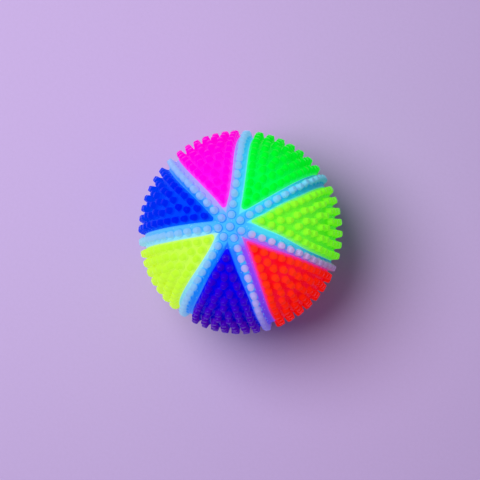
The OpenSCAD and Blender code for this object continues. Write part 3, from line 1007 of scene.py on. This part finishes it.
def rubber_base_finish(sizes, petals, straps):
    """See-through blue rubber with painted glow, that takes painted light from the petals beside
    it.
    """
    finish = Rubber("rubber base", sizes, BASE_GLOW, BASE_SHINE)
    # tint: painted light that each petal throws into the clear strap beside it
    tint = finish.mix(
        finish.far,
        finish.sides_of_straps([(strap.right[:], strap.left[:]) for strap in straps]),
        finish.sides_of_straps([(strap.far_right[:], strap.far_left[:]) for strap in straps]),
    )
    own = finish.mix(
        finish.far,
        finish.around([strap.nub[:] for strap in straps], 0.0, NUB_HOLD),
        finish.around([strap.far_nub[:] for strap in straps], 0.0, NUB_HOLD),
    )
    rim = finish.around([shades.rim[:] for shades in petals], 0.5 / len(PETALS), RIM_HOLD)
    outside_hub = finish.tilted(*HUB_TILTS)

    # The sheet is clear blue at the hub, takes painted light from the petals beside the nubs, and
    # is lit along its rims
    half, wide = sizes.strap_half, finish.aside
    cloud = finish.noise(finish.here, BASE_CLOUD, 3.0)
    sheet = finish.mix(cloud.between(0.35, 0.7) * 0.3, HUB_SHEET, HUB_CLOUD)
    beside = wide.between(0.2 * half, 0.5 * half)
    sheet = finish.mix(beside * (0.15 + outside_hub * 0.8), sheet, tint)
    at_rim = wide.between(0.78 * half, half)
    sheet = finish.mix(at_rim * (0.76 - finish.far * 0.36), sheet, rim)

    # Painted shade lies deep blue around the roots of the nubs, and their tops are milky
    nub = finish.mix(outside_hub, HUB_NUB, own)
    # The nubs near a strap's sides take the same painted light
    nub = finish.mix(wide.between(0.1 * half, 0.6 * half) * 0.42, nub, tint)
    body = finish.mix(finish.top, sheet, nub)
    ring = finish.mix(outside_hub * 0.6, HUB_ROOT_SHADE, tint)
    body = finish.mix(finish.root * (0.7 - finish.far * 0.5), body, ring)

    # Tiny bubbles in the sheet
    bubble = 1 - finish.cells(finish.here, BUBBLES).between(0.1, 0.2)
    body = finish.mix(bubble * (1 - finish.top) * 0.3, body, BUBBLE)

    # The glow is cut on the side away from the key lamp: painted shade
    level = (1 - finish.upright * finish.upright).root()
    finish.lit(body, ((finish.heading - SHADED_HEADING).cosine() * level).between(0.1, 0.8))
    finish.set("Roughness", 0.36 + cloud * 0.12 - finish.top * 0.18)
    finish.bump(finish.noise(finish.here, BASE_GRAIN) + bubble * 0.6, 0.03 * MM, 0.5)
    return finish.material


def rubber_petal_finish(shades, sizes):
    """Bright rubber: its sheet, nubs and thin edge each have their own strength of colour."""
    sheet_shade, nub_shade, edge_shade = shades.sheet[:], shades.nub[:], shades.edge[:]
    shine = PURPLE_SHINE if shades.name == "purple" else (PETAL_SHINE, edge_shade)
    finish = Rubber("rubber petal " + shades.name, sizes, shades.glow, shine)
    far = finish.far
    cloud = finish.noise(finish.here, PETAL_CLOUD, 3.0)
    edge = 1 - (finish.aside - (sizes.strap_half + sizes.side_gap)).between(*EDGE_FADE)
    sheet = finish.mix(far, sheet_shade, shades.far_sheet[:])
    sheet = finish.mix(cloud.between(0.3, 0.75) * 0.1, sheet, edge_shade)
    # The thin edge is paler: painted light from the clear base showing through it
    sheet = finish.mix(edge * (0.9 - far * 0.6), sheet, edge_shade)
    nub = finish.mix(far, nub_shade, shades.far_nub[:])
    nub = finish.mix(finish.attribute("nub_tone", "Fac") * 0.15, nub, sheet)
    body = finish.mix(finish.top, sheet, nub)
    # Painted shade: the nub's colour, darker, in a ring around its root
    body = finish.mix(finish.root * (0.22 - far * 0.18), body, dim(nub_shade, 0.7))
    finish.lit(body)
    finish.set("Roughness", 0.34 + cloud * 0.12 - finish.top * 0.22)
    finish.bump(finish.noise(finish.here, PETAL_GRAIN), 0.025 * MM, 0.4)
    return finish.material


def moulded_finish(name, shade, rough, alpha=1.0):
    """Plastic with a little mottling and a fine grain."""
    finish = Finish(name, Alpha=alpha, Specular_IOR_Level=0.5)
    place = finish.place()
    grain = 600.0
    cloud = finish.noise(place, grain / 4, 3.0)
    finish.set("Base Color", finish.mix(cloud.between(0.35, 0.7) * 0.5, shade, dim(shade, 0.82)))
    finish.set("Roughness", rough + (cloud - 0.5) * 0.2)
    finish.bump(finish.noise(place, grain), 0.02 * MM, 0.4)
    return finish.material


def brushed_finish(name, shade, rough, centre=(0, 0, 0)):
    """Metal brushed in fine rings about the upright through centre."""
    finish = Finish(name, Metallic=1.0, Specular_IOR_Level=0.5)
    x, y, z = finish.split(finish.vector("SUBTRACT", finish.place(), centre))
    drawn = finish.value(
        "ShaderNodeTexNoise", {"noise_dimensions": "1D"},
        {"W": (x * x + y * y).root() * 9000.0 + z * 5000.0, "Scale": 1.0, "Detail": 3.0},
    )
    finish.set("Base Color", finish.mix(drawn * 0.35, shade, dim(shade, 0.7)))
    finish.set("Roughness", rough + drawn * 0.18)
    finish.bump(drawn, 0.008 * MM, 0.5)
    return finish.material


def board_finish():
    """Green board with a woven grain under the mask, and the copper rings around its holes."""
    finish = Finish("board", Specular_IOR_Level=0.5)
    place = finish.place()
    x, y, _ = finish.split(place)
    weave = (x * 9000.0).sine() * (y * 9000.0).sine()
    green = finish.mix(weave * 0.25 + 0.4, colour(24, 104, 62), colour(38, 136, 82))
    copper = 1 - finish.cells(place, 330.0).between(0.1, 0.14)
    finish.set("Base Color", finish.mix(copper * 0.8, green, colour(206, 176, 104)))
    finish.set("Metallic", copper * 0.6)
    finish.set("Roughness", 0.34 + finish.noise(place, 200.0, 3.0) * 0.2)
    finish.bump(copper + weave * 0.1, 0.02 * MM, 0.6)
    return finish.material


def lamp_finish(name, shade):
    """Tinted clear resin with a paler bloom."""
    finish = Finish(name, Alpha=0.85, Specular_IOR_Level=0.5, Coat_Weight=0.3,
                    Emission_Strength=0.35, Emission_Color=shade)
    cloud = finish.noise(finish.place(), 350.0)
    finish.set("Base Color", finish.mix(cloud * 0.5, shade, WHITE))
    finish.set("Roughness", 0.08 + cloud * 0.1)
    return finish.material


def floor_finish(shade):
    """Lilac paper with a faint fibre."""
    finish = Finish("lilac paper", Roughness=0.9, Specular_IOR_Level=0.1)
    fibre = finish.noise(finish.place(), 900.0, 4.0, 0.7)
    finish.set("Base Color", finish.mix(fibre.between(0.3, 0.75) * 0.5, shade, dim(shade, 0.94)))
    finish.bump(fibre, 0.05 * MM, 0.3)
    return finish.material


def dress(node, material):
    """Gives a CAD node its finish in every slot."""
    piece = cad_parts[node]
    piece.data.materials.clear()
    piece.data.materials.append(material)


def field_values(sizes, nub, material, side, rows):
    """What the nub fields of petals and straps share."""
    first, pitch, count = rows
    return {
        "Nub": nub, "Material": material, "Centre": CENTRE, "Skin Radius": sizes.skin,
        "First Row": first, "Row Step": pitch, "Rows": count, "Sectors": 1, "Turn": TURN,
        "Root Width": 2 * sizes.nub_root, "Side": float(side), "Lean": sizes.lean,
    }


class BALL_OT_petals(bpy.types.Operator):
    """Makes the fourteen nubbed petals that stand for the solid ones"""

    bl_idname = "ball.petals"
    bl_label = "Coloured petals"

    def execute(self, context):
        scene = context.scene
        fill_shades(scene)
        sizes = scene.ball_sizes
        nub = make_nub(sizes)
        tree = nub_field_tree()
        for index, shades in enumerate(scene.ball_petals):
            petal = shades.name
            material = rubber_petal_finish(shades, sizes)
            point = PETAL_SEAT[petal].point * MM
            heading = (index + 0.5) * TURN
            for side_name, side in SIDES.items():
                name = f"soft_petal_{side_name}_{petal}"
                piece = place_object(name, petal_mesh(name, sizes, side, heading, point))
                grow_nubs(piece, tree, {
                    **field_values(sizes, nub, material, side, sizes.petal_rows),
                    "Columns": MOST_NUBS, "Heading": heading,
                    "Column Reach": sizes.column_reach, "Side Pitch": sizes.side_pitch,
                    "Seed": sizes.seed + index * PETAL_SEED + side,
                })
                settle(piece, sizes, side, index)
                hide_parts(f"petal_{side_name}_{petal}")
                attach(piece, "ball")
        bpy.data.objects.remove(nub)
        return {"FINISHED"}


class BALL_OT_base(bpy.types.Operator):
    """Makes both halves of the see-through base with their straps of nubs"""

    bl_idname = "ball.base"
    bl_label = "See-through base"

    def execute(self, context):
        scene = context.scene
        fill_shades(scene)
        sizes = scene.ball_sizes
        nub = make_nub(sizes)
        tree = nub_field_tree()
        material = rubber_base_finish(sizes, scene.ball_petals, scene.ball_straps)
        for side_name, side in SIDES.items():
            name = "soft_shell_" + side_name
            piece = place_object(name, base_mesh(name, sizes, side))
            straps = {
                **field_values(sizes, nub, material, side, sizes.strap_rows),
                "Columns": 1, "Heading": 0.0, "Column Reach": 0.0, "Side Pitch": LONE_PITCH,
                "Sectors": len(PETALS), "Seed": sizes.seed + STRAP_SEED,
            }
            grow_nubs(piece, tree, straps)
            grow_nubs(piece, tree, {
                **straps, "First Row": POLE_TILT, "Rows": 1, "Sectors": 1,
                "Seed": sizes.seed + POLE_SEED,
            })
            settle(piece, sizes, side)
            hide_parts("shell_" + side_name)
            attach(piece, "ball")
        bpy.data.objects.remove(nub)
        return {"FINISHED"}


class BALL_OT_capsule(bpy.types.Operator):
    """Finishes the clear capsule and the lamps in it"""

    bl_idname = "ball.capsule"
    bl_label = "Light capsule"

    def execute(self, context):
        clear = colour(238, 244, 250)
        dress("capsule_base", moulded_finish("capsule plastic", clear, 0.2, 0.85))
        dress("capsule_lid", moulded_finish("lid plastic", clear, 0.12, 0.4))
        shades = (colour(255, 90, 90), colour(110, 255, 160), colour(90, 160, 255))
        for lamp, shade in zip(LAMPS, shades):
            dress("led_" + lamp, lamp_finish("lamp " + lamp, shade))
        return {"FINISHED"}


class BALL_OT_circuit(bpy.types.Operator):
    """Finishes the circuit board, the flasher chip and the lamps' legs"""

    bl_idname = "ball.circuit"
    bl_label = "Circuit"

    def execute(self, context):
        dress("circuit_board", board_finish())
        dress("chip_blob", moulded_finish("chip resin", colour(22, 24, 28), 0.22))
        legs = brushed_finish("tinned legs", colour(198, 201, 204), 0.25)
        for lamp in LAMPS:
            dress("led_legs_" + lamp, legs)
        return {"FINISHED"}


class BALL_OT_cells(bpy.types.Operator):
    """Finishes the button cells, their sleeve and all brass contacts"""

    bl_idname = "ball.cells"
    bl_label = "Cells and contacts"

    def execute(self, context):
        low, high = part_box("cell_middle")
        can = brushed_finish("cell can", colour(194, 199, 207), 0.22, (low + high) / 2)
        for place in ("bottom", "middle", "top"):
            dress("cell_" + place, can)
        dress("cell_sleeve", moulded_finish("sleeve plastic", colour(222, 227, 232), 0.45))
        brass = brushed_finish("contact brass", colour(217, 182, 90), 0.28)
        for node in ("contact_negative", "contact_positive", "shake_block", "shake_pin"):
            dress(node, brass)
        return {"FINISHED"}


class BALL_OT_switch(bpy.types.Operator):
    """Finishes the spring of the shake switch"""

    bl_idname = "ball.switch"
    bl_label = "Shake switch"

    def execute(self, context):
        wire = brushed_finish("spring wire", colour(205, 210, 216), 0.2)
        dress("shake_spring", wire)
        return {"FINISHED"}


def make_paper(settings):
    """A sheet of paper as the floor."""
    mesh = bpy.data.meshes.new("paper")
    corners = [
        (x * PAPER_HALF, y * PAPER_HALF, -PAPER_DROP)
        for x, y in ((-1, -1), (1, -1), (1, 1), (-1, 1))
    ]
    mesh.from_pydata(corners, [], [(0, 1, 2, 3)])
    mesh.materials.append(floor_finish(tuple(settings.floor_colour)))
    return place_object("paper", mesh)


def picture_axes(settings):
    """The picture's right and up and the way back to the camera, as columns.

    The view leans from the pole by the tilt, after the picture's own roll.
    """
    heading = settings.tilt_heading
    lean = Matrix.Rotation(
        settings.camera_tilt, 3, Vector((-math.sin(heading), math.cos(heading), 0))
    )
    return (lean @ Matrix.Rotation(settings.camera_roll, 3, "Z")).transposed()


def make_camera(settings, axes):
    lens = bpy.data.cameras.new("camera")
    lens.lens = settings.lens
    lens.shift_x, lens.shift_y = (-off / PICTURE_PIXELS for off in BALL_OFF_MIDDLE)
    camera = place_object("camera", lens)
    place = CENTRE + axes.col[2] * settings.camera_distance
    camera.matrix_world = Matrix.Translation(place) @ axes.to_4x4()
    return camera


def make_key(settings, axes):
    """The large soft lamp, to the upper left of the picture."""
    light = bpy.data.lights.new("key", "AREA")
    light.shape = "DISK"
    light.size = settings.key_size
    light.energy = settings.key_power
    light.color = KEY_COLOUR
    key = place_object("key", light)
    from_ball = (axes @ Vector(KEY_DIRECTION)).normalized()
    key.location = CENTRE + from_ball * settings.key_distance
    key.rotation_euler = from_ball.to_track_quat("Z", "Y").to_euler()


def make_room(settings):
    """Light from all sides."""
    world = bpy.data.worlds.new("soft room")
    world.use_nodes = True
    backdrop = world.node_tree.nodes["Background"]
    backdrop.inputs["Color"].default_value = settings.room_colour
    backdrop.inputs["Strength"].default_value = settings.ambient
    return world


class BALL_OT_stage(bpy.types.Operator):
    """Sets the paper, the lamp, the room's light and the camera"""

    bl_idname = "ball.stage"
    bl_label = "Paper, lamp and camera"

    def execute(self, context):
        scene, settings = context.scene, context.scene.ball_stage
        make_paper(settings)
        axes = picture_axes(settings)
        scene.camera = make_camera(settings, axes)
        make_key(settings, axes)
        scene.world = make_room(settings)
        scene.view_settings.view_transform = "Standard"
        return {"FINISHED"}


OPERATORS = (
    BALL_OT_petals, BALL_OT_base, BALL_OT_capsule, BALL_OT_circuit, BALL_OT_cells,
    BALL_OT_switch, BALL_OT_stage,
)


def draw_settings(box, settings):
    for name in settings.bl_rna.properties.keys():
        if name not in ("rna_type", "name"):
            box.prop(settings, name)


class BALL_PT_panel(bpy.types.Panel):
    """Lists the ball's pieces"""

    bl_idname = "BALL_PT_panel"
    bl_label = "Nubby ball"
    bl_space_type = "VIEW_3D"
    bl_region_type = "UI"
    bl_category = "Ball"

    def draw(self, context):
        for operator in OPERATORS:
            self.layout.operator(operator.bl_idname)
        for settings in (context.scene.ball_sizes, context.scene.ball_stage):
            draw_settings(self.layout.box(), settings)
        for shades in (*context.scene.ball_petals, *context.scene.ball_straps):
            draw_settings(self.layout.box(), shades)


CLASSES = (BallSizes, PetalShades, StrapShades, StageSettings, *OPERATORS, BALL_PT_panel)
SCENE_SETTINGS = {
    "ball_sizes": (bpy.props.PointerProperty, BallSizes),
    "ball_petals": (bpy.props.CollectionProperty, PetalShades),
    "ball_straps": (bpy.props.CollectionProperty, StrapShades),
    "ball_stage": (bpy.props.PointerProperty, StageSettings),
}


def register():
    for kind in CLASSES:
        bpy.utils.register_class(kind)
    for name, (make, kind) in SCENE_SETTINGS.items():
        setattr(bpy.types.Scene, name, make(type=kind))


def unregister():
    for name in SCENE_SETTINGS:
        delattr(bpy.types.Scene, name)
    for kind in reversed(CLASSES):
        bpy.utils.unregister_class(kind)


def main():
    register()
    bpy.ops.ball.petals()
    bpy.ops.ball.base()
    bpy.ops.ball.capsule()
    bpy.ops.ball.circuit()
    bpy.ops.ball.cells()
    bpy.ops.ball.switch()
    bpy.ops.ball.stage()


if __name__ == "__main__":
    main()
